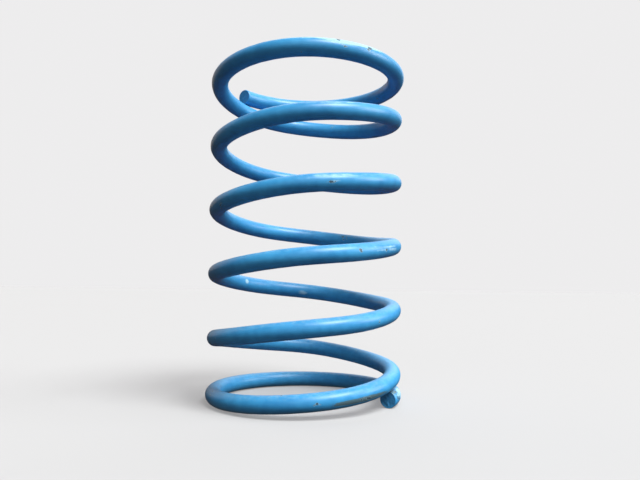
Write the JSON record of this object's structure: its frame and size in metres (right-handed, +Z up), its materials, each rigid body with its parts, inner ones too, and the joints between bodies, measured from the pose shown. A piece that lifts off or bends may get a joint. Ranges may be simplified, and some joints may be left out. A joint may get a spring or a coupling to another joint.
{
  "type": "suspension coil spring",
  "caption": "Blue painted cylindrical suspension coil spring of round steel bar with closed unground ends, built in hinged quarter-turn sections.",
  "frame": {"origin": "on the coil axis, in the plane that the lower end coil stands on", "axes": "+Z up along the coil axis, +X to the right of the pictured view, -Y towards its viewer"},
  "size_m": [0.1436, 0.1429, 0.2432],
  "materials": {
    "paint": "semi-gloss sky-blue powder coat"
  },
  "bodies": {
    "lower_end_coil": {"lower_coil_cut_end": "paint", "lower_coil_seat_arc": "paint", "lower_coil_rise_1": "paint", "lower_coil_rise_2": "paint"},
    "active_coil_1a": {"active_coil_1a": "paint"},
    "active_coil_1b": {"active_coil_1b": "paint"},
    "active_coil_1c": {"active_coil_1c": "paint"},
    "active_coil_1d": {"active_coil_1d": "paint"},
    "active_coil_2a": {"active_coil_2a": "paint"},
    "active_coil_2b": {"active_coil_2b": "paint"},
    "active_coil_2c": {"active_coil_2c": "paint"},
    "active_coil_2d": {"active_coil_2d": "paint"},
    "active_coil_3a": {"active_coil_3a": "paint"},
    "active_coil_3b": {"active_coil_3b": "paint"},
    "active_coil_3c": {"active_coil_3c": "paint"},
    "active_coil_3d": {"active_coil_3d": "paint"},
    "active_coil_4a": {"active_coil_4a": "paint"},
    "active_coil_4b": {"active_coil_4b": "paint"},
    "active_coil_4c": {"active_coil_4c": "paint"},
    "active_coil_4d": {"active_coil_4d": "paint"},
    "active_coil_5a": {"active_coil_5a": "paint"},
    "upper_end_coil": {"upper_coil_rise_2": "paint", "upper_coil_rise_1": "paint", "upper_coil_seat_arc": "paint", "upper_coil_cut_end": "paint"}
  },
  "joints": [
    {"name": "compress", "type": "hinge", "parent": "lower_end_coil", "child": "active_coil_1a", "pos_m": [0.06155, 0.01596, 0.02333], "axis": [0.2654, -0.9599, -0.0901], "range_deg": [0, 3.67], "stiffness_Nm_per_rad": 579},
    {"name": "untwist_01", "type": "hinge", "parent": "active_coil_1a", "child": "active_coil_1b", "pos_m": [-0.01773, 0.06093, 0.03496], "axis": [0.9601, 0.2648, -0.0897], "range_deg": [0, 3.67], "stiffness_Nm_per_rad": 579},
    {"name": "untwist_02", "type": "hinge", "parent": "active_coil_1b", "child": "active_coil_1c", "pos_m": [-0.06275, -0.01833, 0.04649], "axis": [-0.2641, 0.9604, -0.0885], "range_deg": [0, 7.34], "stiffness_Nm_per_rad": 579},
    {"name": "untwist_03", "type": "hinge", "parent": "active_coil_1c", "child": "active_coil_1d", "pos_m": [0.01647, -0.06343, 0.05797], "axis": [-0.9606, -0.2632, -0.0889], "range_deg": [0, 7.34], "stiffness_Nm_per_rad": 579},
    {"name": "untwist_04", "type": "hinge", "parent": "active_coil_1d", "child": "active_coil_2a", "pos_m": [0.06163, 0.01575, 0.06955], "axis": [0.2625, -0.9607, -0.0901], "range_deg": [0, 7.34], "stiffness_Nm_per_rad": 579},
    {"name": "untwist_05", "type": "hinge", "parent": "active_coil_2a", "child": "active_coil_2b", "pos_m": [-0.01751, 0.06095, 0.08118], "axis": [0.9609, 0.2619, -0.0897], "range_deg": [0, 7.34], "stiffness_Nm_per_rad": 579},
    {"name": "untwist_06", "type": "hinge", "parent": "active_coil_2b", "child": "active_coil_2c", "pos_m": [-0.06278, -0.01817, 0.09272], "axis": [-0.2612, 0.9612, -0.0885], "range_deg": [0, 7.34], "stiffness_Nm_per_rad": 579},
    {"name": "untwist_07", "type": "hinge", "parent": "active_coil_2c", "child": "active_coil_2d", "pos_m": [0.01631, -0.06351, 0.10419], "axis": [-0.9614, -0.2603, -0.0889], "range_deg": [0, 7.34], "stiffness_Nm_per_rad": 579},
    {"name": "untwist_08", "type": "hinge", "parent": "active_coil_2d", "child": "active_coil_3a", "pos_m": [0.06171, 0.01553, 0.11577], "axis": [0.2596, -0.9615, -0.0901], "range_deg": [0, 7.34], "stiffness_Nm_per_rad": 579},
    {"name": "untwist_09", "type": "hinge", "parent": "active_coil_3a", "child": "active_coil_3b", "pos_m": [-0.01729, 0.06097, 0.12741], "axis": [0.9617, 0.259, -0.0897], "range_deg": [0, 7.34], "stiffness_Nm_per_rad": 579},
    {"name": "untwist_10", "type": "hinge", "parent": "active_coil_3b", "child": "active_coil_3c", "pos_m": [-0.0628, -0.01801, 0.13894], "axis": [-0.2583, 0.962, -0.0885], "range_deg": [0, 7.34], "stiffness_Nm_per_rad": 579},
    {"name": "untwist_11", "type": "hinge", "parent": "active_coil_3c", "child": "active_coil_3d", "pos_m": [0.01615, -0.06359, 0.15042], "axis": [-0.9622, -0.2574, -0.0889], "range_deg": [0, 7.34], "stiffness_Nm_per_rad": 579},
    {"name": "untwist_12", "type": "hinge", "parent": "active_coil_3d", "child": "active_coil_4a", "pos_m": [0.06179, 0.01531, 0.16199], "axis": [0.2567, -0.9623, -0.0901], "range_deg": [0, 7.34], "stiffness_Nm_per_rad": 579},
    {"name": "untwist_13", "type": "hinge", "parent": "active_coil_4a", "child": "active_coil_4b", "pos_m": [-0.01708, 0.061, 0.17363], "axis": [0.9625, 0.2561, -0.0897], "range_deg": [0, 7.34], "stiffness_Nm_per_rad": 579},
    {"name": "untwist_14", "type": "hinge", "parent": "active_coil_4b", "child": "active_coil_4c", "pos_m": [-0.06282, -0.01785, 0.18516], "axis": [-0.2554, 0.9628, -0.0885], "range_deg": [0, 7.34], "stiffness_Nm_per_rad": 579},
    {"name": "untwist_15", "type": "hinge", "parent": "active_coil_4c", "child": "active_coil_4d", "pos_m": [0.01599, -0.06367, 0.19664], "axis": [-0.963, -0.2545, -0.0889], "range_deg": [0, 7.34], "stiffness_Nm_per_rad": 579},
    {"name": "untwist_16", "type": "hinge", "parent": "active_coil_4d", "child": "active_coil_5a", "pos_m": [0.06187, 0.0151, 0.20822], "axis": [0.2538, -0.9631, -0.0901], "range_deg": [0, 3.67], "stiffness_Nm_per_rad": 579},
    {"name": "untwist_17", "type": "hinge", "parent": "active_coil_5a", "child": "upper_end_coil", "pos_m": [-0.01686, 0.06102, 0.21985], "axis": [0.9632, 0.2532, -0.0898], "range_deg": [0, 3.67], "stiffness_Nm_per_rad": 579}
  ],
  "couplings": [
    {"joint": "untwist_01", "follows": "compress", "ratio": 1},
    {"joint": "untwist_02", "follows": "compress", "ratio": 2},
    {"joint": "untwist_03", "follows": "compress", "ratio": 2},
    {"joint": "untwist_04", "follows": "compress", "ratio": 2},
    {"joint": "untwist_05", "follows": "compress", "ratio": 2},
    {"joint": "untwist_06", "follows": "compress", "ratio": 2},
    {"joint": "untwist_07", "follows": "compress", "ratio": 2},
    {"joint": "untwist_08", "follows": "compress", "ratio": 2},
    {"joint": "untwist_09", "follows": "compress", "ratio": 2},
    {"joint": "untwist_10", "follows": "compress", "ratio": 2},
    {"joint": "untwist_11", "follows": "compress", "ratio": 2},
    {"joint": "untwist_12", "follows": "compress", "ratio": 2},
    {"joint": "untwist_13", "follows": "compress", "ratio": 2},
    {"joint": "untwist_14", "follows": "compress", "ratio": 2},
    {"joint": "untwist_15", "follows": "compress", "ratio": 2},
    {"joint": "untwist_16", "follows": "compress", "ratio": 1},
    {"joint": "untwist_17", "follows": "compress", "ratio": 1}
  ]
}
